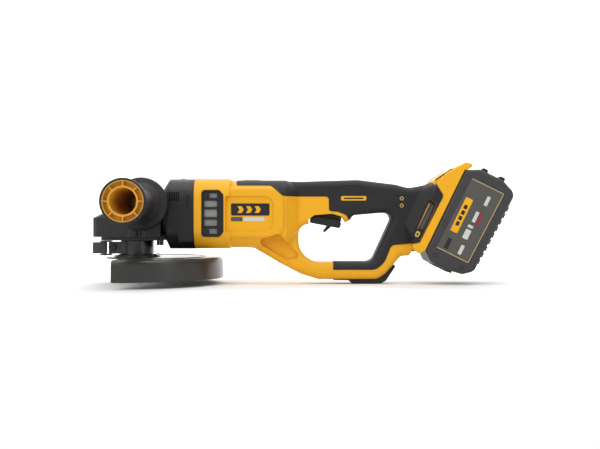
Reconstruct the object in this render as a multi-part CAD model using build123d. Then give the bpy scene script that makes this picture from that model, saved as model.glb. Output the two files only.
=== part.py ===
from build123d import *
import math
import os

# Cordless 230 mm angle grinder with a D-handle.
# Frame, in millimetres: the origin lies on the spindle's axis where the wheel seats,
# +Z is up, +X points to the battery, and the tool's left side faces -Y.

# ---------------------------------------------------------------- driving dimensions
RUN_FIT = 0.03            # radial clearance where a piece turns or slides in another
SEAM = 0.15               # gap left round an insert

SPINDLE_R = 7.0           # M14 nose
NOSE_LENGTH = 18.0
MOTOR_Z = 74.5            # height of the motor's axis
GEAR_RATIO = 3.2          # pinion turns for one turn of the spindle
GEAR_R = 32.0             # pitch radius of the crown gear
MESH_GAP = 0.35

GUARD_R = 124.0
GUARD_SHEET = 2.2
GUARD_TOP = 12.0
GUARD_BOTTOM = -17.6
GUARD_START = -95.0      # angle of the near end of the guard's wall, degrees
GUARD_SPAN = 190.0
NECK_R = 21.0

CASE_BOTTOM = 41.0
CASE_SHOULDER = 68.0
CASE_TOP = 108.0
LOCK_X = -24.0            # spindle lock's place on the gear case

HANDLE_X = 16.7
HANDLE_Z = 87.3
HANDLE_FACE = -52.0       # the side handle's flange meets its boss here
HANDLE_END = -181.0
HANDLE_END_R = 29.0
HANDLE_FLANGE_R = 36.3

ADAPTER_FRONT = 40.0
ADAPTER_SHOULDER = 51.0
HOUSING_FRONT = 87.5
FRONT_BLOCK_END = 138.0
MOTOR_CAVITY_R = 37.0
BULKHEAD_FRONT = 166.0
BULKHEAD_REAR = 188.0

GRIP_HALF = 21.0          # half width of the D-handle
GRIP_FILLET = 10.0
WALL = 4.4
OVERMOLD_DEPTH = 1.6
OVERMOLD_PROUD = 0.6

PACK_HALF = 42.0          # half width of the battery and its receptacle
RAIL_ANGLE = 63.97        # slope of the battery's rails
RAIL_FOOT = (411.4, 22.8) # lower end of the face that the battery slides on
CHANNEL_LENGTH = 112.0
CELL_R = 10.4
CELL_LENGTH = 70.0


# ---------------------------------------------------------------- helpers
def tangent_arcs(corners, closed=True):
    """Start, middle and end of the tangent arc at each (u, v, radius) corner."""
    arcs = []
    last = len(corners) - 1
    for i, (u, v, radius) in enumerate(corners):
        corner = Vector(u, v)
        if radius == 0 or (not closed and i in (0, last)):
            arcs.append((corner, None, corner))
            continue
        before = (Vector(*corners[i - 1][:2]) - corner).normalized()
        after = (Vector(*corners[(i + 1) % len(corners)][:2]) - corner).normalized()
        half = math.radians(before.get_angle(after)) / 2
        reach = radius / math.tan(half)
        inward = (before + after).normalized()
        middle = corner + inward * (radius / math.sin(half) - radius)
        arcs.append((corner + before * reach, middle, corner + after * reach))
    return arcs


def rounded_wire(corners, closed=True):
    """A wire of straight runs joined by tangent arcs."""
    arcs = tangent_arcs(corners, closed)
    edges = []
    for i, (start, middle, end) in enumerate(arcs):
        if middle is not None:
            edges.append(Edge.make_three_point_arc(start, middle, end))
        if i == len(arcs) - 1 and not closed:
            break
        following = arcs[(i + 1) % len(arcs)][0]
        if (following - end).length > 1e-4:
            edges.append(Edge.make_line(end, following))
    return Wire(edges)


def profile(corners, plane=Plane.XZ):
    return plane * Face(rounded_wire(corners))


def grown(face, distance):
    if distance == 0:
        return face
    return offset(face, distance, kind=Kind.INTERSECTION)


def across(corners, start, end, grow=0.0):
    """A side outline in X and Z, extruded from one Y to another."""
    face = Pos(0, start, 0) * grown(profile(corners), grow)
    return extrude(face, end - start, dir=(0, 1, 0))


def slab_of(corners, half_width, grow=0.0):
    """A side outline in X and Z, extruded the same way to both sides of Y = 0."""
    return extrude(grown(profile(corners), grow), half_width, both=True)


def soften_sides(solid, half_width, radius):
    """Rounds the two outlines of a slab that lie on its sides."""
    edges = solid.edges().filter_by(lambda e: abs(e.center().Y) > half_width - 0.5)
    return fillet(edges, radius)


def block(x, y, z):
    """A box from three (low, high) pairs."""
    size = [high - low for low, high in (x, y, z)]
    middle = [(high + low) / 2 for low, high in (x, y, z)]
    return Pos(*middle) * Box(*size)


def x_rod(y, z, radius, start, end):
    return Pos((start + end) / 2, y, z) * Rot(0, 90, 0) * Cylinder(radius, end - start)


def y_rod(x, z, radius, start, end):
    return Pos(x, (start + end) / 2, z) * Rot(90, 0, 0) * Cylinder(radius, end - start)


def z_rod(x, y, radius, start, end):
    return Pos(x, y, (start + end) / 2) * Cylinder(radius, end - start)


def turned(corners, arc=360.0, start=0.0):
    """A profile of radius and height turned about Z."""
    face = Rot(0, 0, start) * profile(corners)
    return revolve(face, Axis.Z, arc)


def turned_about(place, corners):
    """The same, then carried to another axis by a location."""
    return place * turned(corners)


def group(parts):
    """Separate solids kept together as one sub-part."""
    return Compound(children=[s for p in parts for s in p.solids()])


def both_sides(part):
    return group([part, mirror(part, Plane.XZ)])


def left_half(part):
    return part & block((-300, 700), (-300, 0), (-200, 400))


def right_half(part):
    return part & block((-300, 700), (0, 300), (-200, 400))


def rail(u, n):
    """The (x, z) of a point u along the battery's rails and n out from them."""
    slope = math.radians(RAIL_ANGLE)
    x = RAIL_FOOT[0] + u * math.cos(slope) + n * math.sin(slope)
    z = RAIL_FOOT[1] + u * math.sin(slope) - n * math.cos(slope)
    return x, z


def rail_outline(corners):
    return [(*rail(u, n), radius) for u, n, radius in corners]


def rail_block(u, n, y):
    """A box lined up with the rails, from (low, high) pairs."""
    corners = [(u[0], n[0], 0), (u[1], n[0], 0), (u[1], n[1], 0), (u[0], n[1], 0)]
    return across(rail_outline(corners), *y)


def rail_rod(u, n, radius, start, end):
    """A rod across the tool, at a place given along the rails."""
    x, z = rail(u, n)
    return y_rod(x, z, radius, start, end)


# ---------------------------------------------------------------- gear head
def octagon(x, half_width, chamfer, height):
    low, high = x
    points = [(low, -half_width + chamfer), (low + chamfer, -half_width),
              (high - chamfer, -half_width), (high, -half_width + chamfer),
              (high, half_width - chamfer), (high - chamfer, half_width),
              (low + chamfer, half_width), (low, half_width - chamfer)]
    return Pos(0, 0, height) * make_face(Polyline(*points, close=True))


def gear_case():
    base = extrude(octagon((-55.5, 50), 41, 6, CASE_BOTTOM), CASE_SHOULDER - CASE_BOTTOM)
    slope = loft([octagon((-55.5, 50), 41, 6, CASE_SHOULDER), octagon((-40, 50), 37, 6, 76)],
                 ruled=True)
    crown = loft([octagon((-40, 50), 37, 6, 76), octagon((-18, 48), 24, 6, CASE_TOP)],
                 ruled=True)
    neck = x_rod(0, MOTOR_Z, 28, 40, 50)
    boss = y_rod(HANDLE_X, HANDLE_Z, 17, HANDLE_FACE, -HANDLE_FACE)
    lock_boss = z_rod(LOCK_X, 0, 8, 79, 101)
    near_boss = z_rod(0, -38, 9.5, CASE_BOTTOM, 52) + z_rod(17, -38, 5.5, CASE_BOTTOM, 50)
    body = base + slope + crown
    body -= block((40, 60), (-60, 60), (30, 120))
    body += block((30, 40), (-30, 30), (46, 104)) + neck + boss + lock_boss + near_boss
    body -= z_rod(0, 0, 35, 30, 79)
    body -= z_rod(0, 0, 11.02, 78, 91)
    body -= x_rod(0, MOTOR_Z, 12, 15, 45)
    body -= x_rod(0, MOTOR_Z, 16.02, 38, 51)
    for side in (-1, 1):
        body -= y_rod(HANDLE_X, HANDLE_Z, SPINDLE_R + 0.05, *sorted((side * 30, side * 60)))
    body -= z_rod(LOCK_X, 0, 3.05, 70, 110) + z_rod(LOCK_X, 0, 5.6, 90, 110)
    body -= z_rod(LOCK_X, 0, 7.8, 98.5, 120)
    for y, z in adapter_screw_places():
        body -= x_rod(y, z, 2.5, 28, 42)
    for x, y in retainer_screw_places():
        body -= z_rod(x, y, 2.5, 36, 58)
    return body


def retainer_screw_places():
    return [(-40, -28), (-40, 28), (34, -31), (34, 31)]


def bearing_retainer():
    plate = extrude(octagon((-46, 42), 36, 8, 36), 5)
    neck = z_rod(0, 0, NECK_R, 13, 38)
    body = plate + neck
    for x in (32.5, 38):
        body += block((x, x + 3.4), (-34, -20), (29, CASE_BOTTOM))
    body -= z_rod(0, 0, 12, 10, 30) + z_rod(0, 0, 16.02, 24, 42)
    for x, y in retainer_screw_places():
        body -= z_rod(x, y, 2.6, 30, 50) + z_rod(x, y, 4.6, 30, 39)
    return body


def cap_screw(head_r, head_h, shank_r, shank_h, socket_r):
    """A hexagon-socket screw along Z, its head on top and the seat at Z = 0."""
    screw = Pos(0, 0, head_h / 2) * Cylinder(head_r, head_h)
    screw += Pos(0, 0, 0.01 - shank_h / 2) * Cylinder(shank_r, shank_h)
    hexagon = extrude(Pos(0, 0, head_h * 0.4) * RegularPolygon(socket_r, 6), head_h)
    return screw - hexagon


def retainer_screws():
    screw = Rot(180, 0, 0) * cap_screw(4.4, 2.9, 2.5, 18, 2.2)
    return group([Pos(x, y, 39) * screw for x, y in retainer_screw_places()])


def ring(place, inner, outer, length):
    """A ball bearing or spacer as a turned ring with softened edges."""
    return turned_about(place, [(inner, 0, 0.4), (outer, 0, 0.6),
                                (outer, length, 0.6), (inner, length, 0.4)])


def spindle():
    nose = [(0, -NOSE_LENGTH, 0), (5.8, -NOSE_LENGTH, 0), (SPINDLE_R, -NOSE_LENGTH + 1.2, 0),
            (SPINDLE_R, 0, 0), (8, 0, 0), (8, 7, 0), (9.9, 7, 0), (9.9, 24, 0), (8, 24, 0),
            (8, 78, 0), (6, 78, 0), (6, 91, 0), (0, 91, 0)]
    return turned(nose)


def inner_flange():
    flange = turned([(8.02, 0, 0), (20, 0, 0.8), (20, 4, 1), (17, 7, 1), (8.02, 7, 0)])
    return flange


def cone_height(radius):
    """Height of the crown gear's face at a radius."""
    return MOTOR_Z - radius / GEAR_RATIO - MESH_GAP


def bevel_gear():
    body = turned([(8.02, 38, 0.5), (13, 38, 1), (13, 53, 1), (GEAR_R + 1, 55, 1),
                   (GEAR_R + 1, cone_height(GEAR_R + 1), 0.3), (21, cone_height(21), 0.3),
                   (19, 64, 0.5), (8.02, 64, 0)])
    for i in range(int(GEAR_R)):
        groove = Pos(27.5, 0, cone_height(27.5)) * Rot(0, 17.35, 0) * Box(18, 2.6, 5)
        body -= Rot(0, 0, i * 360 / GEAR_R) * groove
    return body


def pinion_radius(x):
    return x / GEAR_RATIO - MESH_GAP


def along_x(x=0.0, y=0.0, z=MOTOR_Z):
    """Carries a piece turned about Z so that its axis lies along +X."""
    return Pos(x, y, z) * Rot(0, 90, 0)


def pinion():
    body = turned([(6.02, 21, 0), (pinion_radius(21) + 0.3, 21, 0), (pinion_radius(33), 33, 0.4),
                   (9, 36, 0.4), (6.02, 36, 0)])
    for i in range(10):
        groove = Pos(pinion_radius(28) + 0.8, 0, 28) * Rot(0, 17.35, 0) * Box(4, 2, 30)
        body -= Rot(0, 0, i * 36) * groove & z_rod(0, 0, 20, 0, 33)
    return along_x() * body


# ---------------------------------------------------------------- motor
def rotor_shaft():
    return along_x() * turned([(0, 21, 0), (6, 21, 0), (6, 150, 0), (5, 150, 0), (5, 182, 0),
                               (0, 182, 0)])


def rotor_core():
    core = turned([(6.02, 92, 0), (20, 92, 0.5), (20, 148, 0.5), (6.02, 148, 0)])
    for i in range(6):
        core -= Rot(0, 0, i * 60) * Pos(14.5, 0, 120) * Box(3, 11, 80)
    return along_x() * core


def fan():
    body = turned([(6.02, 60, 0), (11, 60, 1), (11, 74, 1), (35.5, 74, 0), (35.5, 76, 0),
                   (6.02, 76, 0)])
    blade = Pos(23, 0, 69) * Rot(0, 0, 24) * Box(24, 1.6, 11)
    for i in range(11):
        body += Rot(0, 0, i * 360 / 11) * blade
    return along_x() * body


def motor_stator():
    core = turned([(21, 92, 0), (MOTOR_CAVITY_R, 92, 0.5), (MOTOR_CAVITY_R, 148, 0.5),
                   (21, 148, 0)])
    for i in range(12):
        core -= Rot(0, 0, i * 30) * Pos(27, 0, 120) * Box(9, 5, 80)
    return along_x() * core


def stator_windings():
    coils = []
    for i in range(12):
        for z0, z1 in ((85.5, 91.9), (148.1, 155)):
            coil = Pos(28, 0, (z0 + z1) / 2) * Box(9, 9.5, z1 - z0)
            coil = fillet(coil.edges().filter_by(Axis.Z), 2)
            coils.append(along_x() * Rot(0, 0, 15 + i * 30) * coil)
    return group(coils)


def adapter_screw_places():
    return [(y, MOTOR_Z + z) for y in (-24, 24) for z in (-22, 22)]


def adapter_section(x, half_width, low, high, radius):
    middle = (low + high) / 2
    face = RectangleRounded(2 * half_width, high - low, radius)
    return Plane.YZ.offset(x) * Pos(0, middle) * face


def motor_adapter():
    body = extrude(adapter_section(ADAPTER_SHOULDER, 46.5, 24, 123.3, 30),
                   HOUSING_FRONT - ADAPTER_SHOULDER)
    body += loft([adapter_section(ADAPTER_FRONT, 37, 46.5, 106.5, 22),
                  adapter_section(ADAPTER_SHOULDER, 46.5, 24, 123.3, 30)])
    body += block((66, 86.5), (-47.6, -40), (34.7, 49.7)) & block((60, HOUSING_FRONT), (-50, 0), (20, 120))
    body -= x_rod(0, MOTOR_Z, 28.03, 30, 50.5) + x_rod(0, MOTOR_Z, 14, 30, 90)
    body -= x_rod(0, MOTOR_Z, 38, 56, 90)
    for i in range(6):
        slot = block((52.6 + i * 2.5, 53.9 + i * 2.5), (30, 50), (91, 104))
        body -= slot + mirror(slot, Plane.XZ)
    body -= block((51.5, 66), (-50, -43.5), (106, 114)) & block((0, 90), (-60, 0), (0, 130))
    body -= block((76.8, 82), (-50, -44.5), (79, 99))
    for y, z in adapter_screw_places():
        body -= x_rod(y, z, 2.55, 30, 60)
    return body


def adapter_screws():
    screw = Rot(0, 90, 0) * cap_screw(3.8, 2.9, 2.45, 27, 2)
    return group([Pos(56, y, z) * screw for y, z in adapter_screw_places()])


# ---------------------------------------------------------------- main housing
HANDLE_OUTLINE = [(150, 122, 6), (236, 119.4, 60), (318, 122, 60), (372, 115.4, 40),
                  (391, 110.3, 25), (412, 114, 20), (431, 121, 11), (438, 99, 11),
                  (403, 30, 11), (402, 14.5, 11), (380, 13, 8), (358, -12, 12),
                  (346, -19.8, 14), (262, -19.8, 30), (237, -12.3, 30), (208, 2.4, 60),
                  (170, 24.8, 10), (150, 26, 4)]
HAND_OPENING = [(234, 58.3, 14), (233, 5.2, 30), (338.5, 5.2, 14), (371, 75.8, 9),
                (352, 75.8, 30), (312, 72.4, 8), (303, 61, 12)]
TRIGGER_WINDOW = [(247.6, 50, 0), (248.2, 66, 4), (256, 72, 6), (281.6, 74, 12),
                  (297.6, 69.2, 6), (300.8, 61, 2), (300.8, 50, 0)]
RECEPTACLE = [(392.5, 27, 5), (402, 17.5, 4), (412, 21.5, 3), (466, 132, 6),
              (482, 142.6, 3), (468, 146, 4), (440, 131, 20), (428, 118, 4)]
POD = [(128, 39.6, 8), (214, 39.6, 18), (214, 111, 20), (128, 111, 8)]
PANEL = [(131, 49, 2), (198.5, 49, 12), (198.5, 98.2, 12), (131, 98.2, 2)]
WEB_POCKET = [(206, 46, 6), (238, 12, 5), (217, 8, 6), (171, 35, 6)]
VENT_WINDOW = [(98, 41, 5), (122.7, 41, 2), (129, 48, 4), (129, 100, 4), (122.7, 106.7, 2),
               (98, 106.7, 5)]
OVERMOLD_REGION = [(146, 140, 0), (146, 113.7, 3), (195, 113.7, 10), (212, 98.4, 12),
                   (276.8, 98.4, 5), (276.8, 77.6, 4), (289, 76.8, 6), (301.5, 72, 4),
                   (306, 64.5, 2), (303, 50, 0), (303, 40, 0), (283, 30, 0), (283, -6, 0), (344, -6, 16), (356, 4.7, 16),
                   (366, 29, 8), (389, 31, 8), (403, 33, 3), (436.7, 99, 6), (425, 117.5, 6),
                   (425, 140, 0)]
HOUSING_SCREWS = [(224, 100), (225, 44), (262, -12.5), (340, -12.5), (310, 98), (398, 98),
                  (392, 26), (94.5, 34), (94.5, 115)]


def handle_slab(grow):
    body = slab_of(HANDLE_OUTLINE, GRIP_HALF + grow, grow)
    body -= slab_of(HAND_OPENING, 60, -grow)
    return soften_sides(body, GRIP_HALF + grow, GRIP_FILLET + min(grow, 0))


def rounded_bar(x, half_width, z, radius, grow):
    start, end = x
    low, high = z
    face = adapter_section(start, half_width + grow, low - grow, high + grow, radius + grow)
    return extrude(face, end - start)


def motor_barrel(grow):
    front = rounded_bar((HOUSING_FRONT, FRONT_BLOCK_END), 47, (24.6, 124), 26, grow)
    rear = front.edges().group_by(Axis.X)[-1]
    front = fillet(rear, 2.5)
    middle = rounded_bar((130, 216), 40, (26, 121.2), 24, grow)
    tail = loft([adapter_section(216, 40 + grow, 26 - grow, 121.2 + grow, 24 + grow),
                 adapter_section(232, 23 + grow, 44 - grow, 112 + grow, 10 + grow)])
    pod = soften_sides(slab_of(POD, 44 + grow, grow), 44 + grow, 5)
    return front + middle + tail + pod


def rail_section(n, low, high, half_width, radius):
    """A rounded rectangle square to the direction n, between two places along the rails."""
    x, z = rail((low + high) / 2, n)
    slope = math.radians(RAIL_ANGLE)
    plane = Plane(origin=(x, 0, z), x_dir=(math.cos(slope), 0, math.sin(slope)),
                  z_dir=(math.sin(slope), 0, -math.cos(slope)))
    return plane * RectangleRounded(high - low, 2 * half_width, radius)


def receptacle(grow):
    body = slab_of(RECEPTACLE, PACK_HALF + grow, grow)
    body = soften_sides(body, PACK_HALF + grow, 2.6)
    flare = loft([rail_section(-42, 14 - grow, 78 + grow, 20 + grow, 9 + grow),
                  rail_section(-18, 2 - grow, 100 + grow, 40 + grow, 9 + grow)])
    return body + flare


def outer_body(grow):
    return handle_slab(grow) + motor_barrel(grow) + receptacle(grow)


def overmold_region():
    return slab_of(OVERMOLD_REGION, 70)


def channel():
    """The slot that the battery's rail block slides into, open at its lower end."""
    neck = rail_block((-20, CHANNEL_LENGTH), (-4.6, 3), (-24.3, 24.3))
    wide = rail_block((-20, CHANNEL_LENGTH), (-14, -4.5), (-27.3, 27.3))
    return neck + wide


def pack_envelope():
    """Everything beyond the face that the battery slides on."""
    return rail_block((-40, 126), (0, 120), (-60, 60))


def handle_cavity():
    cavity = handle_slab(-WALL) - block((100, BULKHEAD_REAR), (-60, 60), (-60, 160))
    cavity -= block((424, 470), (-60, 60), (0, 160))
    cavity -= block((242, 305), (-60, 60), (40, 84.4)) + slab_of(WEB_POCKET, 60, 3)
    for x, z in HOUSING_SCREWS:
        cavity -= y_rod(x, z, 4.6, -60, 60)
    return cavity


def trigger_pocket():
    corners = [(246, 64, 0), (301, 64, 0), (301, 84, 3), (270, 86, 3), (246, 86, 3)]
    return slab_of(corners, 9.6) + slab_of(TRIGGER_WINDOW, 60)


def terminal_pocket():
    return rail_block((66, 100), (-26, -13.9), (-16, 16))


def housing_shell():
    body = outer_body(0)
    under = handle_slab(-OVERMOLD_DEPTH) + motor_barrel(-OVERMOLD_DEPTH) + receptacle(-OVERMOLD_DEPTH)
    region = overmold_region()
    body = (body - region) + (under & region)
    body -= pack_envelope() + slab_of(rail_outline(PACK_SIDE), 60, 0.5)
    body -= channel()
    body -= x_rod(0, MOTOR_Z, MOTOR_CAVITY_R + 0.05, 80, BULKHEAD_FRONT)
    body -= x_rod(0, MOTOR_Z, 13.02, 160, 182)
    body -= block((BULKHEAD_REAR, 214), (-30, 30), (46, 103))
    body -= handle_cavity()
    body -= trigger_pocket() + terminal_pocket()
    body -= y_rod(*TRIGGER_PIVOT, 2.02, -14, 14)
    body -= lead_tunnels() + battery_leads(2.4)
    for side in (-1, 1):
        body -= side_slab(PANEL, side, 42, 60)
        body -= side_slab(WEB_POCKET, side, 16.5, 60)
        body -= side_slab(VENT_WINDOW, side, 40.5, 60)
        body -= side_slab(CHIP_SLOT, side, CHIP_FLOOR, 60)
        body -= block((102, 120), sorted((side * 28, side * 50)), (56, 93))
        body -= side_slab(PLATE, side, 41.5, 60)
    body -= slab_of(FOOT_PAD, 13)
    body -= slab_of(TOP_LABEL, 16)
    for x, z in HOUSING_SCREWS:
        body -= y_rod(x, z, 2.05, -16, 60) + y_rod(x, z, 4, screw_seat(x), 60)
    return body


def screw_seat(x):
    """Where a housing screw's head rests, counted from the middle seam."""
    return 30 if x < FRONT_BLOCK_END else 15


def side_slab(corners, side, inner, outer, grow=0.0):
    """A side outline extruded from one |Y| to another on one side of the tool."""
    return across(corners, *sorted((side * inner, side * outer)), grow)


def overmold():
    skin = outer_body(OVERMOLD_PROUD) & overmold_region()
    skin -= handle_slab(-OVERMOLD_DEPTH) + motor_barrel(-OVERMOLD_DEPTH) + receptacle(-OVERMOLD_DEPTH)
    skin -= pack_envelope() + channel() + trigger_pocket()
    for side in (-1, 1):
        skin -= side_slab(CHIP_SLOT, side, CHIP_FLOOR, 60)
    for x, z in HOUSING_SCREWS:
        skin -= y_rod(x, z, 4, 0, 60)
    return skin


def housing_screws():
    screws = []
    for x, z in HOUSING_SCREWS:
        screw = Rot(-90, 0, 0) * cap_screw(3.6, 2.6, 2, screw_seat(x) + 12, 1.7)
        screws.append(Pos(x, screw_seat(x), z) * screw)
    return group(screws)


# ---------------------------------------------------------------- fittings on the housing
FOOT_PAD = [(283, -14, 0), (283, -21, 2), (305, -21.4, 4), (311, -26.3, 4), (351, -26.3, 5),
            (359, -22, 5), (373, -1, 1.5), (369, 1.4, 1.5), (350, -16, 10), (340, -16.5, 5)]
TOP_LABEL = [(91, 122.6, 0), (131, 122.6, 0), (131, 126, 0), (91, 126, 0)]
PLATE = [(139, 71, 2), (193, 71, 2), (193, 88, 2), (139, 88, 2)]
CHIP_SLOT = [(416.8, 94.5, 4), (428, 88, 4), (404.5, 35.5, 4), (393.5, 41, 4)]
CHIP_FLOOR = 33.0
VENT_CELLS = [(95.7, 102), (83, 91.7), (68.7, 79.6), (56.5, 65.2), (45.5, 52.5)]
VENT_SCREWS = [(104.8, 99.2), (104.8, 48.5)]
TRIGGER_PIVOT = (256, 77)


def foot_pad():
    return slab_of(FOOT_PAD, 12.9)


def top_label():
    return slab_of([(91.2, 122.6, 0), (130.8, 122.6, 0), (130.8, 124.2, 0), (91.2, 124.2, 0)], 15.8)


def name_plates():
    inset = [(139.2, 71.2, 1.8), (192.8, 71.2, 1.8), (192.8, 87.8, 1.8), (139.2, 87.8, 1.8)]
    return both_sides(side_slab(inset, -1, 41.5, 42.5))


def vent_covers():
    frame = side_slab(VENT_WINDOW, -1, 42.4, 47.3, -SEAM)
    frame -= side_slab(VENT_WINDOW, -1, 45.6, 60, -1.5)
    for low, high in VENT_CELLS:
        frame -= block((101.9, 119.9), (-60, -40), (low, high))
    for x, z in VENT_SCREWS:
        frame += y_rod(x, z, 4.2, -46.8, -42.4)
        frame -= y_rod(x, z, 1.6, -60, -40) + y_rod(x, z, 2.9, -60, -45.6)
    return both_sides(frame)


def vent_screens():
    sheet = side_slab(VENT_WINDOW, -1, 41.6, 42.4, -SEAM)
    for low, high in VENT_CELLS:
        beside_screw = any(low - 3 < z < high + 3 for x, z in VENT_SCREWS)
        for i in range(2 if beside_screw else 0, 6):
            x = 103.4 + i * 3
            sheet -= block((x, x + 1.2), (-50, -40), (low + 0.8, high - 0.8))
    for x, z in VENT_SCREWS:
        sheet -= y_rod(x, z, 1.6, -60, -40)
    return both_sides(sheet)


def vent_screws():
    screws = []
    for x, z in VENT_SCREWS:
        screws.append(Pos(x, -45.6, z) * Rot(90, 0, 0) * cap_screw(2.7, 1.4, 1.5, 4.6, 1.2))
    return both_sides(group(screws))


def chip_covers():
    plate = side_slab(CHIP_SLOT, -1, CHIP_FLOOR, CHIP_FLOOR + 4.5, -SEAM)
    return both_sides(plate - side_slab(CHIP_SLOT, -1, CHIP_FLOOR + 3, 60, -1.6))


def controller_module():
    body = block((190, 212), (-28, 28), (48, 95.5))
    body = chamfer(body.edges().filter_by(Axis.X), 2)
    for i in range(7):
        body -= block((208, 213), (-24 + i * 7.4, -20.6 + i * 7.4), (52, 92))
    return body


LEAD_PLACES = [(-7, 101), (0, 101), (7, 101)]


def lead_tunnels():
    tunnels = x_rod(0, 101, 3, BULKHEAD_FRONT - 4, BULKHEAD_REAR + 1)
    for y, z in LEAD_PLACES:
        tunnels += x_rod(y, z, 3, BULKHEAD_FRONT - 4, BULKHEAD_REAR + 1)
    return tunnels


def motor_leads():
    return group([x_rod(y, z, 1.5, 155.3, 200) for y, z in LEAD_PLACES])


BATTERY_LEAD_ROUTE = [(*rail(74, -25.9), 0), (*rail(74, -40), 6), (390, 54, 20),
                      (378, 14, 12), (352, -3.5, 16), (264, -3.5, 30), (214, 17, 14),
                      (205, 32, 8), (205, 47.9, 0)]


def battery_leads(radius=1.8):
    path = Plane.XZ * rounded_wire(BATTERY_LEAD_ROUTE, closed=False)
    section = Plane(origin=path @ 0, z_dir=path % 0) * Circle(radius)
    lead = sweep(section, path=path)
    return group([Pos(0, y, 0) * lead for y in (-4, 4)])


def switch_module():
    body = block((262, 296), (-8, 8), (87, 106))
    plunger = block((286, 292), (-2.5, 2.5), (84.6, 88))
    return body + plunger


def terminal_block():
    body = rail_block((68, 98), (-25.8, -14.1), (-15.8, 15.8))
    for y in (-12, -6, 0, 6, 12):
        body += rail_block((72, 94), (-14.2, -8), (y - 0.4, y + 0.4))
    return body


# ---------------------------------------------------------------- trigger
TRIGGER_FINGER = [(249.6, 61.2, 2), (284, 54.5, 6), (292.5, 52.9, 3), (295, 60.3, 3),
                  (290, 64.6, 4), (274, 67.6, 10), (257, 69.6, 3), (250.6, 66, 2)]
TRIGGER_STEM = [(250.2, 64, 0), (292, 58, 0), (294.5, 63, 2), (296, 72.5, 3), (268, 74.5, 4),
                (263.5, 81.5, 3), (250.2, 81.5, 4)]


def trigger():
    body = soften_sides(slab_of(TRIGGER_FINGER, 16), 16, 1.8) + slab_of(TRIGGER_STEM, 9)
    body -= y_rod(*TRIGGER_PIVOT, 2.05, -20, 20)
    body -= y_rod(*TRIGGER_PIVOT, 4.8, 3.4, 20)
    body -= slab_of([(266.5, 40, 0), (288, 40, 0), (288, 68, 2), (266.5, 68, 2)], 3.6)
    body -= y_rod(*LOCK_PIVOT, 1.52, -7, 7)
    return body


LOCK_PIVOT = (279, 62)


def trigger_pin():
    return y_rod(*TRIGGER_PIVOT, 2, -13.9, 13.9)


def trigger_spring():
    coils = []
    for i in range(3):
        coil = Torus(3.4, 0.55)
        coils.append(Pos(TRIGGER_PIVOT[0], 4.4 + i * 1.3, TRIGGER_PIVOT[1]) * Rot(90, 0, 0) * coil)
    return group(coils)


def lock_lever():
    corners = [(275.6, 64.5, 2), (275.2, 58, 2), (268.6, 49.2, 1.2), (270.6, 46.6, 1.2),
               (281, 55.5, 4), (282.6, 64.5, 2)]
    body = slab_of(corners, 3.2)
    return body - y_rod(*LOCK_PIVOT, 1.55, -9, 9)


def lock_pin():
    return y_rod(*LOCK_PIVOT, 1.5, -6.9, 6.9)


# ---------------------------------------------------------------- spindle lock
def lock_button():
    pin = z_rod(LOCK_X, 0, 3, 72.5, 103)
    cap = z_rod(LOCK_X, 0, 7.4, 102.4, 107)
    cap = fillet(cap.edges().group_by(Axis.Z)[-1], 1.6)
    return pin + cap


def lock_spring():
    coils = [Pos(LOCK_X, 0, 90.7 + i * 1.6) * Torus(4.4, 0.6) for i in range(5)]
    return group(coils)


# ---------------------------------------------------------------- wheel guard
def guard_shell():
    sheet = GUARD_SHEET
    wall = turned([(30, GUARD_TOP, 0), (GUARD_R, GUARD_TOP, 6), (GUARD_R, GUARD_BOTTOM, 0.8),
                   (GUARD_R - sheet, GUARD_BOTTOM, 0.8), (GUARD_R - sheet, GUARD_TOP - sheet, 3.8),
                   (30, GUARD_TOP - sheet, 0)], GUARD_SPAN, GUARD_START)
    hub = turned([(21.6, GUARD_TOP - sheet, 0), (44, GUARD_TOP - sheet, 0),
                  (44, GUARD_TOP, 0), (21.6, GUARD_TOP, 0)])
    return wall + hub


def guard_band():
    band = turned([(NECK_R + RUN_FIT, 14, 0), (27, 14, 0), (27, GUARD_TOP, 0), (33, GUARD_TOP, 0),
                   (33, 14.5, 1), (23.6, 16.5, 0), (23.6, 35.6, 0.5), (NECK_R + RUN_FIT, 35.6, 0)])
    for y in (-20, -11):
        band += block((-36.7, -12), (y - 1.5, y + 1.5), (17, 34)) - z_rod(0, 0, 22.5, 0, 60)
    for low, high in ((14.9, 17.1), (33.7, 35.6)):
        lug = block((-47, -32), (-29.5, -18.5), (low, high))
        band += lug
    band -= block((-40, -19), (-18.5, -12.5), (16.9, 37))
    band -= y_rod(-31, 26, 2.6, -25, -3)
    band -= z_rod(-42, -24.5, 2.05, 10, 40)
    return band


def clamp_bolt():
    bolt = y_rod(-31, 26, 2.5, -22, -6)
    head = Pos(-31, -21.6, 26) * Rot(90, 0, 0) * extrude(RegularPolygon(5.4, 6), 4.6)
    nut = Pos(-31, -4.6, 26) * Rot(90, 0, 0) * extrude(RegularPolygon(5.4, 6), 4.6)
    return bolt + head + nut


def lever_pin():
    return z_rod(-42, -24.5, 2, 14.4, 35.7)


def clamp_lever():
    corners = [(-38.2, -21.9, 2), (-38.2, -28.6, 3), (-46, -29.6, 6), (-58, -30, 2),
               (-58, -26, 2), (-47, -21.9, 3)]
    face = Pos(0, 0, 17.5) * Face(rounded_wire(corners))
    body = extrude(face, 16, dir=(0, 0, 1))
    for i in range(4):
        body -= z_rod(-49.6 - i * 2.3, -30.6, 1.1, 10, 40)
    return body - z_rod(-42, -24.5, 2.05, 10, 40)


# ---------------------------------------------------------------- side handle
def handle_axis():
    """Carries a piece turned about Z on to the side handle's axis, +Z towards the tool."""
    return Pos(HANDLE_X, 0, HANDLE_Z) * Rot(-90, 0, 0)


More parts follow.
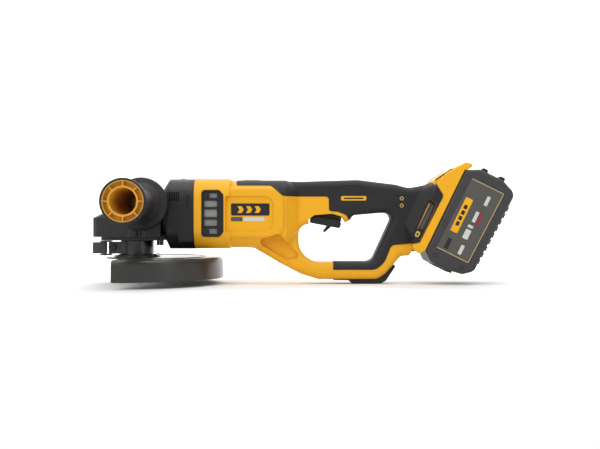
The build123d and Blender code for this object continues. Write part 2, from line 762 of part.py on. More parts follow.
def handle_core():
    end = HANDLE_END
    tube = turned([(17, end + 1.5, 0.6), (19.2, end + 1.5, 0.6), (19.2, end + 9, 0),
                   (25, end + 9, 0), (25, end + 1.2, 0.4), (26.4, end + 1.2, 0.4),
                   (26.4, end + 12, 0), (18.4, end + 22, 0), (17.2, -100, 0), (17.2, -76, 0),
                   (22, -66, 0), (22, -60, 0), (0, -60, 0), (0, -70, 0), (11, -72, 0), (12.4, -100, 0),
                   (15.4, end + 30, 0)])
    for i in range(8):
        rib = Pos(22.1, 0, end + 5.5) * Box(6.4, 1.4, 7.2)
        tube += Rot(0, 0, i * 45) * rib
    tube -= z_rod(0, 0, SPINDLE_R + 0.02, -75, -59)
    return handle_axis() * tube


def handle_grip():
    end = HANDLE_END
    grip = turned([(26.45, end, 0.5), (HANDLE_END_R, end, 1.2), (HANDLE_END_R, end + 7, 3),
                   (22.5, end + 26, 8), (20.5, -100, 20), (21, -78, 8), (29, -66, 6),
                   (HANDLE_FLANGE_R, -62, 3), (HANDLE_FLANGE_R, HANDLE_FACE - 2, 1),
                   (30, HANDLE_FACE, 0), (SPINDLE_R + 0.05, HANDLE_FACE, 0), (SPINDLE_R + 0.05, -59.95, 0),
                   (22.05, -59.95, 0), (22.05, -66.1, 0), (17.25, -76.1, 0), (17.25, -100, 0),
                   (18.45, end + 22, 0), (26.45, end + 12, 0)])
    return handle_axis() * grip


def handle_stud():
    return handle_axis() * turned([(0, -71, 0), (SPINDLE_R, -71, 0), (SPINDLE_R, -31.5, 0),
                                   (6, -30.5, 0), (0, -30.5, 0)])


# ---------------------------------------------------------------- battery
PACK_SIDE = [(-1, 0.4, 1.5), (-12, 14, 10), (-12, 40, 14), (-8, 62, 10), (3, 75, 12),
             (22, 74.8, 30), (110, 78.8, 30), (126, 79, 12), (135.8, 55, 20), (135.8, 20, 12),
             (126, 2, 6), (121, 0.4, 2)]
PACK_SPLIT = 7.0


def pack_body(grow=0.0):
    body = slab_of(rail_outline(PACK_SIDE), PACK_HALF + grow, grow)
    return soften_sides(body, PACK_HALF + grow, 5 + grow)


def pack_hollow():
    inside = slab_of(rail_outline([(-6, 4.5, 2), (-6, 56, 8), (8, 71.8, 6), (110, 75, 8),
                                   (130, 55, 10), (130, 4.5, 2)]), PACK_HALF - 3.6)
    return inside


def battery_case():
    body = pack_body() - pack_hollow()
    body -= rail_block((-60, 200), (-40, PACK_SPLIT), (-60, 60))
    for side in (-1, 1):
        body -= side_slab(rail_outline(LABEL), side, PACK_HALF - 0.8, 60)
    body -= battery_bumpers()
    body -= rail_block((8, 112), (76, 90), (-20, 20)) & rail_block((8, 112), (77.4, 90), (-20, 20))
    return body


LABEL = [(9.5, 11.5, 3), (9, 62, 3), (119, 65, 3), (120, 14, 3)]


def battery_top():
    lid = pack_body() & rail_block((-60, 200), (-40, PACK_SPLIT - 0.05), (-60, 60))
    lid -= rail_block((4, 116), (4, 8), (-34, 34))
    rails = rail_block((2, 108), (-4.2, 1.5), (-23.9, 23.9))
    rails += rail_block((2, 108), (-13, -4.9), (-26.9, 26.9))
    rails += rail_block((2, 108), (-5, -4.1), (-23.9, 23.9))
    for y in (-12, -6, 0, 6, 12):
        rails -= rail_block((60, 109), (-13.5, -6.5), (y - 1.2, y + 1.2))
    body = lid + rails
    body -= latch_well()
    return body


def latch_well():
    return rail_block((-3, 16), (-20, 6), (-12.3, 12.3))


def battery_latch():
    body = rail_block((2, 15.4), (-9, 1), (-12, 12))
    return body


def battery_cells():
    cells = []
    for i in range(5):
        for j in range(3):
            half = CELL_LENGTH / 2
            cells.append(rail_rod(13 + i * 24, 18.4 + j * 21.1, CELL_R, -half, half))
    return group(cells)


def battery_bumpers():
    bumpers = []
    for n in (27, 53.5):
        pad = rail_block((128, 140), (n - 4.5, n + 4.5), (-38, -24))
        pad = fillet(pad.edges(), 2.6)
        bumpers += [pad, mirror(pad, Plane.XZ)]
    return group(bumpers)


def battery_labels():
    inset = [(9.7, 11.7, 2.8), (9.2, 61.8, 2.8), (118.8, 64.8, 2.8), (119.8, 14.2, 2.8)]
    return both_sides(side_slab(rail_outline(inset), -1, PACK_HALF - 0.8, PACK_HALF + 0.1))


SUBPARTS = {
    "gear_case": gear_case,
    "bearing_retainer": bearing_retainer,
    "retainer_screws": retainer_screws,
    "spindle_bearing_lower": lambda: ring(Pos(0, 0, 24), 8 + RUN_FIT, 16, 12),
    "spindle_bearing_upper": lambda: ring(Pos(0, 0, 79), 6 + RUN_FIT, 11, 10),
    "rotor_bearing_front": lambda: ring(along_x(38.2), 6 + RUN_FIT, 16, 11.6),
    "rotor_bearing_rear": lambda: ring(along_x(171), 5 + RUN_FIT, 13, 10),
    "spindle": spindle,
    "inner_flange": inner_flange,
    "bevel_gear": bevel_gear,
    "pinion": pinion,
    "rotor_shaft": rotor_shaft,
    "rotor_core": rotor_core,
    "fan": fan,
    "motor_stator": motor_stator,
    "stator_windings": stator_windings,
    "motor_adapter": motor_adapter,
    "adapter_screws": adapter_screws,
    "housing_screws": housing_screws,
    "foot_pad": foot_pad,
    "top_label": top_label,
    "name_plates": name_plates,
    "vent_covers": vent_covers,
    "vent_screens": vent_screens,
    "vent_screws": vent_screws,
    "chip_covers": chip_covers,
    "controller_module": controller_module,
    "motor_leads": motor_leads,
    "battery_leads": battery_leads,
    "switch_module": switch_module,
    "terminal_block": terminal_block,
    "trigger": trigger,
    "trigger_pin": trigger_pin,
    "trigger_spring": trigger_spring,
    "lock_lever": lock_lever,
    "lock_pin": lock_pin,
    "spindle_lock_button": lock_button,
    "spindle_lock_spring": lock_spring,
    "guard_shell": guard_shell,
    "guard_band": guard_band,
    "clamp_bolt": clamp_bolt,
    "lever_pin": lever_pin,
    "clamp_lever": clamp_lever,
    "handle_core": handle_core,
    "handle_grip": handle_grip,
    "handle_stud": handle_stud,
    "battery_case": battery_case,
    "battery_top": battery_top,
    "battery_cells": battery_cells,
    "battery_bumpers": battery_bumpers,
    "battery_labels": battery_labels,
    "battery_latch": battery_latch,
}


def main():
    os.makedirs("parts", exist_ok=True)
    shell = housing_shell()
    skin = overmold()
    built = {name: make() for name, make in SUBPARTS.items()}
    built["housing_left"] = left_half(shell)
    built["housing_right"] = right_half(shell)
    built["grip_overmold_left"] = left_half(skin)
    built["grip_overmold_right"] = right_half(skin)
    for name, part in built.items():
        export_step(part, f"parts/{name}.step")


main()
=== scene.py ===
# %% [markdown]
# # A cordless angle grinder, dressed around its engineering model
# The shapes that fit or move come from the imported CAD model, which loads as a fixed frame.
# This lesson adds finishes to those parts and builds the small things that CAD left plain:
# labels, woven screens, grip ridges, rivets and ribs. Every length is in metres.

# %% Load the frame
import bpy
import bmesh
import math
from mathutils import Matrix, Vector


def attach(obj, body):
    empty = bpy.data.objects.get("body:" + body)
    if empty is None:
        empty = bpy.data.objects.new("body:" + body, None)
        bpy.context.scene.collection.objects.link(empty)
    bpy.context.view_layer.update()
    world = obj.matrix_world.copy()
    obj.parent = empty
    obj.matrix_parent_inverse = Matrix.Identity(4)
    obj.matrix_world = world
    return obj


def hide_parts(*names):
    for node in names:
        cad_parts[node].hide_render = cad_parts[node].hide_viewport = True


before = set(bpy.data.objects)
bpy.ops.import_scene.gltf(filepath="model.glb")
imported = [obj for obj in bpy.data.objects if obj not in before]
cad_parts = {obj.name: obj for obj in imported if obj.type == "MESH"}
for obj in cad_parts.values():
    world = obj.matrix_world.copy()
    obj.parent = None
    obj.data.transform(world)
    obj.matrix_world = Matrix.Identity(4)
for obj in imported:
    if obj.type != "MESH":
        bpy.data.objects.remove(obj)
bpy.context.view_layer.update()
MM = 0.001
SIDES = {"left": -1, "right": 1}
print("CAD nodes:", len(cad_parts))

# %% [markdown]
# ## The view
# The tool is seen square on from its left side, the way a catalogue shows it. The camera
# looks along +Y from 1.2 m, which is near enough for the side handle to look larger than
# the gear head behind it. A longer lens from further off would lose that.

# %% Camera
VIEW_DISTANCE = 1.2
FOCAL_MM = 49.66
SENSOR_MM = 36
VIEW_CENTRE = Vector((0.2356, 0, 0.0585))


def add_camera():
    data = bpy.data.cameras.new("catalogue_camera")
    data.lens = FOCAL_MM
    data.sensor_width = SENSOR_MM
    camera = bpy.data.objects.new("catalogue_camera", data)
    camera.location = VIEW_CENTRE - Vector((0, VIEW_DISTANCE, 0))
    camera.rotation_euler = (math.radians(90), 0, 0)
    bpy.context.scene.collection.objects.link(camera)
    bpy.context.scene.camera = camera
    return camera


print("camera at", tuple(add_camera().location))

# %% [markdown]
# ## A pale studio
# A studio often puts a tool on a sheet that curves up behind it, so that floor
# and wall have no join. One swept strip does that better than two planes, because a join
# would show as a line behind a dark tool.

# %% Floor and soft lights
FLOOR = -0.0266           # just under the rubber foot
SHEET_FRONT = -4.0
SHEET_SIDES = (-4.0, 4.5)
SWEEP_START = 1.2
SWEEP_RADIUS = 0.8
SWEEP_STEPS = 16
WALL_TOP = 3.5


def sweep_outline():
    """The strip's side view: floor, a quarter circle, then the wall."""
    points = [(SHEET_FRONT, FLOOR), (SWEEP_START, FLOOR)]
    for i in range(1, SWEEP_STEPS + 1):
        turn = math.radians(90 * i / SWEEP_STEPS)
        points.append((SWEEP_START + SWEEP_RADIUS * math.sin(turn),
                       FLOOR + SWEEP_RADIUS * (1 - math.cos(turn))))
    return points + [(SWEEP_START + SWEEP_RADIUS, WALL_TOP)]


def studio_sheet():
    mesh = bpy.data.meshes.new("studio_sheet")
    outline = sweep_outline()
    verts = [(x, y, z) for y, z in outline for x in SHEET_SIDES]
    faces = [(2 * i, 2 * i + 1, 2 * i + 3, 2 * i + 2) for i in range(len(outline) - 1)]
    mesh.from_pydata(verts, [], faces)
    for face in mesh.polygons:
        face.use_smooth = True
    sheet = bpy.data.objects.new("studio_sheet", mesh)
    bpy.context.scene.collection.objects.link(sheet)
    return sheet


def soft_light(name, place, target, size, watts):
    data = bpy.data.lights.new(name, "AREA")
    data.shape = "RECTANGLE"
    data.size, data.size_y = size
    data.energy = watts
    lamp = bpy.data.objects.new(name, data)
    lamp.location = place
    aim = Vector(target) - Vector(place)
    lamp.rotation_euler = aim.to_track_quat("-Z", "Y").to_euler()
    bpy.context.scene.collection.objects.link(lamp)


SOFT_LIGHTS = {          # place, what it faces, (width, height), watts
    "overhead": ((0.2, -0.35, 1.3), (0.25, 0, 0.05), (1.6, 0.9), 11),
    "front_left": ((-0.9, -1.4, 0.8), (0.2, 0, 0.05), (0.9, 0.9), 8),
    "front_right": ((1.4, -1.2, 0.5), (0.3, 0, 0.05), (0.6, 1.0), 3),
    "behind": ((0.3, 1.1, 0.7), (0.25, 0, 0.05), (1.4, 0.5), 3),
    "backdrop_wash": ((0.25, 0.9, 1.6), (0.25, 1.9, 0.5), (3.0, 0.6), 44),
}
ROOM_BRIGHTNESS = 0.5

sheet = studio_sheet()
for name, (place, target, size, watts) in SOFT_LIGHTS.items():
    soft_light(name, place, target, size, watts)

world = bpy.data.worlds.new("studio_air")
bpy.context.scene.world = world
world.use_nodes = True
world.node_tree.nodes["Background"].inputs["Color"].default_value = (1, 1, 1, 1)
world.node_tree.nodes["Background"].inputs["Strength"].default_value = ROOM_BRIGHTNESS
bpy.context.scene.view_settings.view_transform = "Standard"
print("studio sheet faces:", len(sheet.data.polygons))

# %% [markdown]
# ## Shared effects as node groups
# Moulded nylon, cast metal and rubber all have a fine grain, all lose their sharpness at the
# edges and all pick up a little dust. Each effect is one shader node group with named inputs,
# so that every material uses the same recipe with its own numbers.

# %% A helper for groups
def shader_group(name, inputs, outputs):
    """An empty group. inputs is {name: (kind, default)}, outputs is {name: kind}."""
    tree = bpy.data.node_groups.new(name, "ShaderNodeTree")
    for label, (kind, default) in inputs.items():
        socket = tree.interface.new_socket(label, in_out="INPUT", socket_type=kind)
        socket.default_value = default
    for label, kind in outputs.items():
        tree.interface.new_socket(label, in_out="OUTPUT", socket_type=kind)
    return tree, tree.nodes.new("NodeGroupInput"), tree.nodes.new("NodeGroupOutput")


def add_math(tree, operation, first, second, clamp=False):
    """A Math node fed by sockets or plain numbers."""
    node = tree.nodes.new("ShaderNodeMath")
    node.operation = operation
    node.use_clamp = clamp
    for slot, value in zip(node.inputs, (first, second)):
        if isinstance(value, (int, float)):
            slot.default_value = value
        else:
            tree.links.new(value, slot)
    return node.outputs[0]


def add_noise(tree, place, scale, detail=3.0):
    node = tree.nodes.new("ShaderNodeTexNoise")
    node.inputs["Detail"].default_value = detail
    tree.links.new(place, node.inputs["Vector"])
    if isinstance(scale, (int, float)):
        node.inputs["Scale"].default_value = scale
    else:
        tree.links.new(scale, node.inputs["Scale"])
    return node.outputs["Fac"]


FLOAT, COLOUR, VECTOR = "NodeSocketFloat", "NodeSocketColor", "NodeSocketVector"
print("group helpers ready")

# %% [markdown]
# ### Moulded grain
# A mould is etched, so the plastic has a skin of tiny soft pits. Noise alone looks like
# sand, so a Voronoi cell pattern is mixed in: its rounded cells read as etched texture.

# %% Moulded grain
def build_moulded_grain():
    tree, given, out = shader_group("moulded_grain", {"Scale": (FLOAT, 1500.0)},
                                    {"Height": FLOAT})
    place = tree.nodes.new("ShaderNodeTexCoord").outputs["Object"]
    fine = add_noise(tree, place, given.outputs["Scale"], 2.0)
    cells = tree.nodes.new("ShaderNodeTexVoronoi")
    tree.links.new(place, cells.inputs["Vector"])
    tree.links.new(given.outputs["Scale"], cells.inputs["Scale"])
    total = add_math(tree, "ADD", fine, cells.outputs["Distance"])
    tree.links.new(add_math(tree, "MULTIPLY", total, 0.5), out.inputs["Height"])
    return tree


MOULDED_GRAIN = build_moulded_grain()
print("sockets:", [s.name for s in MOULDED_GRAIN.interface.items_tree])

# %% [markdown]
# ### Worn edges
# Corners are rubbed paler. The Bevel node gives the normal that the surface would have if its
# edges were rounded, and the more that differs from the true normal, the nearer an edge is.
# The same rounded normal also softens the hard corners of the CAD parts.

# %% Worn edges
def build_worn_edges():
    tree, given, out = shader_group("worn_edges", {"Radius": (FLOAT, 0.0008)},
                                    {"Mask": FLOAT, "Rounded": VECTOR})
    bevel = tree.nodes.new("ShaderNodeBevel")
    bevel.samples = 4
    tree.links.new(given.outputs["Radius"], bevel.inputs["Radius"])
    true = tree.nodes.new("ShaderNodeNewGeometry").outputs["Normal"]
    dot = tree.nodes.new("ShaderNodeVectorMath")
    dot.operation = "DOT_PRODUCT"
    tree.links.new(bevel.outputs["Normal"], dot.inputs[0])
    tree.links.new(true, dot.inputs[1])
    away = add_math(tree, "SUBTRACT", 1.0, dot.outputs["Value"], clamp=True)
    place = tree.nodes.new("ShaderNodeTexCoord").outputs["Object"]
    broken = add_noise(tree, place, 140.0, 4.0)
    patchy = add_math(tree, "MULTIPLY", away, add_math(tree, "MULTIPLY", broken, 7.0))
    tree.links.new(add_math(tree, "MINIMUM", patchy, 1.0), out.inputs["Mask"])
    tree.links.new(bevel.outputs["Normal"], out.inputs["Rounded"])
    return tree


WORN_EDGES = build_worn_edges()
print("sockets:", [s.name for s in WORN_EDGES.interface.items_tree])

# %% [markdown]
# ### Handled tone
# Nothing that is held stays one even colour. A slow noise shifts the colour a little, upward
# faces get a trace of dust, and the edge mask brings in the worn colour. The group also gives
# a roughness that changes with the same noise, because rubbed patches shine more.

# %% Handled tone
def mix_colour(tree, amount, first, second):
    node = tree.nodes.new("ShaderNodeMix")
    node.data_type = "RGBA"
    tree.links.new(amount, node.inputs["Factor"])
    tree.links.new(first, node.inputs[6])
    tree.links.new(second, node.inputs[7])
    return node.outputs[2]


def build_handled_tone():
    inputs = {"Base": (COLOUR, (0.5, 0.5, 0.5, 1)), "Shade": (COLOUR, (0.4, 0.4, 0.4, 1)),
              "Worn": (COLOUR, (0.8, 0.8, 0.8, 1)), "Dust": (COLOUR, (0.55, 0.52, 0.48, 1)),
              "Edge": (FLOAT, 0.0), "Wear": (FLOAT, 0.5), "Dusting": (FLOAT, 0.05),
              "Roughness": (FLOAT, 0.5)}
    tree, given, out = shader_group("handled_tone", inputs,
                                    {"Colour": COLOUR, "Roughness": FLOAT})
    place = tree.nodes.new("ShaderNodeTexCoord").outputs["Object"]
    slow = add_noise(tree, place, 22.0, 5.0)
    quick = add_noise(tree, place, 320.0, 3.0)
    mottled = add_math(tree, "MULTIPLY", slow, add_math(tree, "ADD", quick, 0.35))
    toned = mix_colour(tree, mottled, given.outputs["Base"], given.outputs["Shade"])
    up = tree.nodes.new("ShaderNodeSeparateXYZ")
    normal = tree.nodes.new("ShaderNodeNewGeometry").outputs["Normal"]
    tree.links.new(normal, up.inputs[0])
    settled = add_math(tree, "MULTIPLY", up.outputs["Z"], given.outputs["Dusting"], clamp=True)
    settled = add_math(tree, "MULTIPLY", settled, add_math(tree, "MULTIPLY", quick, 2.0))
    dusty = mix_colour(tree, settled, toned, given.outputs["Dust"])
    rubbed = add_math(tree, "MULTIPLY", given.outputs["Edge"], given.outputs["Wear"], clamp=True)
    tree.links.new(mix_colour(tree, rubbed, dusty, given.outputs["Worn"]), out.inputs["Colour"])
    swing = add_math(tree, "MULTIPLY", add_math(tree, "SUBTRACT", slow, 0.5), 0.22)
    rough = add_math(tree, "ADD", given.outputs["Roughness"], swing, clamp=True)
    tree.links.new(rough, out.inputs["Roughness"])
    return tree


HANDLED_TONE = build_handled_tone()
print("sockets:", [s.name for s in HANDLED_TONE.interface.items_tree])

# %% [markdown]
# ## Finishes
# A finish places the three groups around one Principled shader. Numbers that are the same
# all over, such as metallic or coat, are set on the shader itself.

# %% One recipe for moulded and painted finishes
def place_group(tree, group, values):
    node = tree.nodes.new("ShaderNodeGroup")
    node.node_tree = group
    for label, value in values.items():
        node.inputs[label].default_value = value
    return node


def scaled(colour, factor):
    return tuple(min(c * factor, 1.0) for c in colour) + (1,)


def finish(name, colour, roughness, grain=1500.0, depth=0.00003, wear=0.3, worn=None,
           dusting=0.04, edge=0.0008, metallic=0.0, coat=0.0, coat_roughness=0.2, shade=0.8,
           gloss=0.35):
    """A material for one of the tool's finishes; grain is cells per metre, depth in metres."""
    material = bpy.data.materials.new(name)
    material.use_nodes = True
    tree = material.node_tree
    shader = tree.nodes["Principled BSDF"]
    shader.inputs["Metallic"].default_value = metallic
    shader.inputs["Coat Weight"].default_value = coat
    shader.inputs["Specular IOR Level"].default_value = gloss
    shader.inputs["Coat Roughness"].default_value = coat_roughness
    edges = place_group(tree, WORN_EDGES, {"Radius": edge})
    tone = place_group(tree, HANDLED_TONE, {
        "Base": scaled(colour, 1.0), "Shade": scaled(colour, shade),
        "Worn": (worn or scaled(colour, 1.9)[:3]) + (1,), "Wear": wear,
        "Dusting": dusting, "Roughness": roughness})
    pits = place_group(tree, MOULDED_GRAIN, {"Scale": grain})
    bump = tree.nodes.new("ShaderNodeBump")
    bump.inputs["Strength"].default_value = 1.0
    bump.inputs["Distance"].default_value = depth
    links = tree.links
    links.new(edges.outputs["Mask"], tone.inputs["Edge"])
    links.new(pits.outputs["Height"], bump.inputs["Height"])
    links.new(edges.outputs["Rounded"], bump.inputs["Normal"])
    links.new(tone.outputs["Colour"], shader.inputs["Base Color"])
    links.new(tone.outputs["Roughness"], shader.inputs["Roughness"])
    links.new(bump.outputs["Normal"], shader.inputs["Normal"])
    return material


YELLOW = (0.86, 0.42, 0.012)
CHARCOAL = (0.013, 0.013, 0.015)
print("finish recipe ready")

# %% [markdown]
# The nylon is glass filled: satin, with a faint coarse etch. The rubber is softer and duller,
# the castings are powder coated with a slight orange peel, and the guard is dipped in a
# smoother paint that reflects the room, so it has a thin clear coat.

# %% The tool's finishes
MATERIALS = {
    "yellow_nylon": finish("yellow_nylon", YELLOW, 0.44, 1700, 0.000018, 0.25,
                           (1.0, 0.66, 0.12), shade=0.84, gloss=0.24),
    # The handle core is moulded in the same yellow nylon; this copy is darkened as painted
    # shade, so that the deep bore and pockets of the core look shaded.
    "core_nylon_painted_shade": finish("core_nylon_painted_shade", (0.74, 0.36, 0.03), 0.45, 1700, 0.00002, 0.6,
                         (1.0, 0.7, 0.2), shade=0.8, gloss=0.3),
    "grip_rubber": finish("grip_rubber", CHARCOAL, 0.6, 2300, 0.00006, 0.5,
                          (0.06, 0.06, 0.064), dusting=0.03),
    "black_nylon": finish("black_nylon", (0.012, 0.012, 0.013), 0.46, 1500, 0.00004, 0.5,
                          (0.07, 0.07, 0.07)),
    "cast_coat": finish("cast_coat", (0.017, 0.017, 0.018), 0.42, 700, 0.00008, 0.5,
                        (0.09, 0.09, 0.093), edge=0.0014, coat=0.12),
    "guard_paint": finish("guard_paint", (0.014, 0.013, 0.012), 0.32, 500, 0.00002, 0.5,
                          (0.10, 0.095, 0.09), edge=0.001, coat=0.5, coat_roughness=0.2),
    "pack_nylon": finish("pack_nylon", (0.042, 0.042, 0.046), 0.48, 1500, 0.00005, 0.4,
                         (0.12, 0.12, 0.125)),
    "black_oxide": finish("black_oxide", (0.035, 0.035, 0.04), 0.36, 2500, 0.00002, 0.7,
                          (0.3, 0.3, 0.3), metallic=0.8, edge=0.0004),
    "lever_casting": finish("lever_casting", (0.06, 0.06, 0.065), 0.45, 900, 0.00005, 0.6,
                            (0.3, 0.3, 0.32), metallic=0.35),
    "label_black": finish("label_black", (0.012, 0.012, 0.013), 0.34, 900, 0.000006, 0.1,
                          coat=0.2),
    "label_grey": finish("label_grey", (0.080, 0.078, 0.072), 0.38, 900, 0.000008, 0.1,
                         coat=0.15, shade=0.85),
    "label_white": finish("label_white", (0.62, 0.62, 0.60), 0.4, 900, 0.000006, 0.05),
    "label_cream": finish("label_cream", (0.78, 0.56, 0.16), 0.4, 900, 0.000006, 0.05),
    "label_tan": finish("label_tan", (0.42, 0.27, 0.07), 0.4, 900, 0.000006, 0.05),
    "label_red": finish("label_red", (0.30, 0.025, 0.035), 0.4, 900, 0.000006, 0.05),
    "silicone_red": finish("silicone_red", (0.45, 0.03, 0.02), 0.5, 900, 0.00001, 0.1),
    "cell_sleeve": finish("cell_sleeve", (0.05, 0.22, 0.12), 0.3, 600, 0.00001, 0.1),
    "board_resin": finish("board_resin", (0.03, 0.10, 0.06), 0.4, 300, 0.00006, 0.2),
    "winding_enamel": finish("winding_enamel", (0.55, 0.20, 0.06), 0.35, 1200, 0.0002, 0.2,
                             metallic=0.7),
    "screen_wire": finish("screen_wire", (0.46, 0.46, 0.44), 0.42, 2600, 0.00001, 0.3,
                          (0.7, 0.7, 0.7), metallic=0.25, edge=0.0001),
    "studio_paper": finish("studio_paper", (0.9, 0.9, 0.89), 0.9, 120, 0.00003, 0.0,
                           dusting=0.0, shade=0.98, gloss=0.1),
}
sheet.data.materials.append(MATERIALS["studio_paper"])
print(len(MATERIALS), "finishes")

# %% [markdown]
# ### Ground steel
# Turned steel shows fine rings left by the tool. A wave texture in rings about the part's own
# axis gives them, and stretches of noise break them up, so that it isn't a perfect record.

# %% Ground steel
def ground_steel(name, axis, colour=(0.56, 0.56, 0.57)):
    material = finish(name, colour, 0.3, 1800, 0.000006, 0.3, (0.8, 0.8, 0.8), 0.02,
                      0.0005, metallic=1.0)
    tree = material.node_tree
    rings = tree.nodes.new("ShaderNodeTexWave")
    rings.wave_type = "RINGS"
    rings.rings_direction = axis
    rings.inputs["Scale"].default_value = 420.0
    rings.inputs["Distortion"].default_value = 1.2
    place = tree.nodes.new("ShaderNodeTexCoord").outputs["Object"]
    tree.links.new(place, rings.inputs["Vector"])
    bump = tree.nodes.new("ShaderNodeBump")
    bump.inputs["Distance"].default_value = 0.00001
    shader = tree.nodes["Principled BSDF"]
    under = shader.inputs["Normal"].links[0].from_socket
    tree.links.new(rings.outputs["Fac"], bump.inputs["Height"])
    tree.links.new(under, bump.inputs["Normal"])
    tree.links.new(bump.outputs["Normal"], shader.inputs["Normal"])
    return material


MATERIALS["spindle_steel"] = ground_steel("spindle_steel", "Z")
MATERIALS["rotor_steel"] = ground_steel("rotor_steel", "X")
print("steels:", [n for n in MATERIALS if n.endswith("steel")])

# %% [markdown]
# ## Dressing the CAD parts
# Each CAD node keeps its shape and gets a finish through its material slots.

# %% Which finish each part has
DRESS = {
    "yellow_nylon": ["housing_left", "housing_right", "battery_latch"],
    "core_nylon_painted_shade": ["handle_core"],
    "grip_rubber": ["grip_overmold_left", "grip_overmold_right", "foot_pad", "handle_grip",
                    "battery_bumpers"],
    "black_nylon": ["motor_adapter", "fan", "vent_covers", "chip_covers", "switch_module",
                    "terminal_block", "trigger", "lock_lever", "spindle_lock_button"],
    "cast_coat": ["gear_case", "bearing_retainer"],
    "guard_paint": ["guard_shell", "guard_band"],
    "pack_nylon": ["battery_case", "battery_top"],
    "black_oxide": ["retainer_screws", "adapter_screws", "housing_screws", "vent_screws",
                    "clamp_bolt", "lever_pin"],
    "lever_casting": ["clamp_lever"],
    "label_black": ["top_label", "name_plates"],
    "label_grey": ["battery_labels"],
    "silicone_red": ["motor_leads", "battery_leads"],
    "cell_sleeve": ["battery_cells"],
    "board_resin": ["controller_module"],
    "winding_enamel": ["stator_windings"],
    "spindle_steel": ["spindle", "inner_flange", "bevel_gear", "spindle_bearing_lower",
                      "spindle_bearing_upper", "spindle_lock_spring"],
    "rotor_steel": ["rotor_shaft", "rotor_core", "pinion", "motor_stator", "trigger_pin",
                    "lock_pin", "trigger_spring", "rotor_bearing_front",
                    "rotor_bearing_rear", "handle_stud"],
}


def dress(node, material):
    slots = node.data.materials
    slots.clear()
    slots.append(material)


for finish_name, names in DRESS.items():
    for name in names:
        dress(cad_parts[name], MATERIALS[finish_name])
dressed = {n for names in DRESS.values() for n in names}
print("left plain:", sorted(set(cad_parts) - dressed))

# %% [markdown]
# ## Building small pieces
# Labels, ridges and ribs are all thin shapes on a side face. One helper turns an outline in X
# and Z into a plate with softened edges. The bevel is made in the mesh, so that the
# highlight along an edge is real geometry.

# %% Plates from outlines
def rounded(corners, steps=5):
    """Points round a closed outline of (x, z, radius) corners, in millimetres."""
    points = []
    for i, (x, z, radius) in enumerate(corners):
        corner = Vector((x, z))
        before = (Vector(corners[i - 1][:2]) - corner).normalized()
        after = (Vector(corners[(i + 1) % len(corners)][:2]) - corner).normalized()
        if radius == 0:
            points.append(corner)
            continue
        half = before.angle(after) / 2
        reach = radius / math.tan(half)
        start, end = corner + before * reach, corner + after * reach
        for k in range(steps + 1):
            t = k / steps
            points.append(start * (1 - t) ** 2 + corner * 2 * t * (1 - t) + end * t ** 2)
    return points


def add_object(name, bm, material, body):
    bmesh.ops.recalc_face_normals(bm, faces=bm.faces)
    mesh = bpy.data.meshes.new(name)
    bm.to_mesh(mesh)
    bm.free()
    mesh.materials.append(MATERIALS[material])
    piece = bpy.data.objects.new(name, mesh)
    bpy.context.scene.collection.objects.link(piece)
    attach(piece, body)
    return piece


def plate(name, corners, side, inner, outer, material, body, soften=0.15, holes=()):
    """A plate on one side of the tool, from one |Y| to another, in millimetres."""
    bm = bmesh.new()
    for outline in (corners, *holes):
        ring = [bm.verts.new((p.x * MM, side * inner * MM, p.y * MM)) for p in rounded(outline)]
        for a, b in zip(ring, ring[1:] + ring[:1]):
            bm.edges.new((a, b))
    if holes:
        bmesh.ops.triangle_fill(bm, edges=bm.edges[:], use_beauty=True)
        bmesh.ops.dissolve_limit(bm, angle_limit=0.01, verts=bm.verts[:], edges=bm.edges[:])
    else:
        bm.faces.new(bm.verts[:])
    lifted = bmesh.ops.extrude_face_region(bm, geom=bm.faces[:])
    moved = [v for v in lifted["geom"] if isinstance(v, bmesh.types.BMVert)]
    bmesh.ops.translate(bm, verts=moved, vec=(0, side * (outer - inner) * MM, 0))
    far = side * outer * MM
    rim = [e for e in bm.edges if all(abs(v.co.y - far) < 1e-6 for v in e.verts)
           and any(abs(f.normal.y) < 0.5 for f in e.link_faces)]
    if soften and not holes:
        bmesh.ops.bevel(bm, geom=rim, offset=soften * MM, segments=2, affect="EDGES")
    return add_object(name, bm, material, body)


RAIL_SLOPE = math.radians(63.97)
RAIL_FOOT = (411.4, 22.8)


def rail(u, n, radius=0.0):
    """A corner u along the battery's rails and n out from them, as (x, z, radius)."""
    x = RAIL_FOOT[0] + u * math.cos(RAIL_SLOPE) + n * math.sin(RAIL_SLOPE)
    z = RAIL_FOOT[1] + u * math.sin(RAIL_SLOPE) - n * math.cos(RAIL_SLOPE)
    return (x, z, radius)


print("a corner on the rails:", rail(10, 10))

# %% [markdown]
# ## The battery's side labels
# The label is a grey panel with a thin pale border, a yellow bar and a dark bar. All of its
# marks are straight bars with rounded corners, so that the label spells and signs nothing.

# %% Battery labels
LABEL_FACE = 42.1         # |Y| of the label's outer face
PACK_FACE = 42            # |Y| of the pack's side
BORDER = [rail(118.6, 15.0), rail(118.6, 64.2, 1.6), rail(9.8, 61.4, 1.6), rail(10.2, 12.0),
          rail(11.0, 12.0), rail(10.6, 60.6, 1), rail(117.8, 63.4, 1), rail(117.8, 15.0)]


def bar(u0, u1, n0, n1, radius=0.8):
    return [rail(u0, n0, radius), rail(u1, n0, radius), rail(u1, n1, radius),
            rail(u0, n1, radius)]


BAND = bar(40, 92, 18.4, 29.4, 2)
BADGE = bar(14, 30, 21, 27, 1)
LABEL_MARKS = {"label_white": [(15, 29, 42, 47), (38, 52, 38, 46), (55, 59, 38, 46),
                               (64, 80, 40, 45), (92, 106, 45, 50)],
               "label_red": [(62, 82, 47, 51)]}


